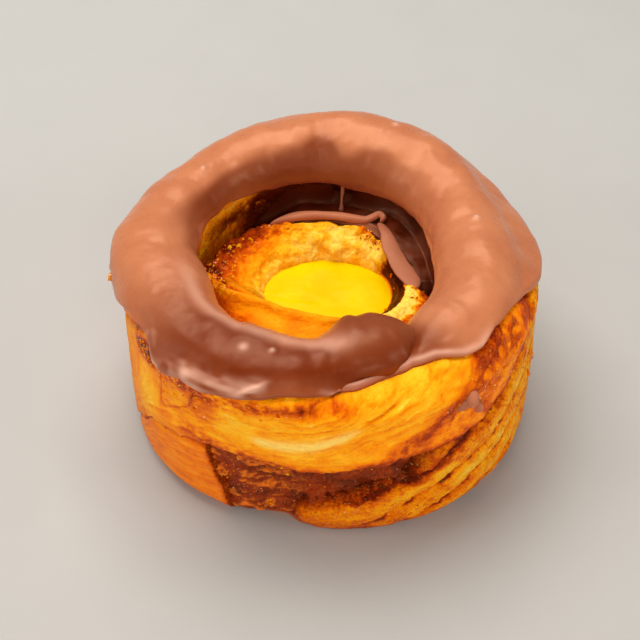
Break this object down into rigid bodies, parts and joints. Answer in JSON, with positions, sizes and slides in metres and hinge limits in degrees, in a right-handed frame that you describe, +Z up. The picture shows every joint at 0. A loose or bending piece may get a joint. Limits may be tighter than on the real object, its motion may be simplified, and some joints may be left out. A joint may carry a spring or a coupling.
{
  "type": "coiled custard pastry",
  "caption": "Round coiled laminated pastry with a milk chocolate icing ring on top, custard in its middle and dark chocolate in the gutter and the side seam.",
  "frame": {"origin": "centre of the flat underside, below the middle of the custard", "axes": "+Z up; -Y towards the side where the rope's iced free end lies inside the ring; +X to the right when seen from there"},
  "size_m": [0.1056, 0.1029, 0.0553],
  "materials": {
    "baked_dough": "satin",
    "milk_chocolate_icing": "satin",
    "custard": "gloss",
    "dark_chocolate": "gloss"
  },
  "bodies": {
    "root": {"pastry_coil": "baked_dough", "chocolate_icing": "milk_chocolate_icing", "custard": "custard", "chocolate_filling": "dark_chocolate", "chocolate_seam": "dark_chocolate"}
  },
  "joints": []
}
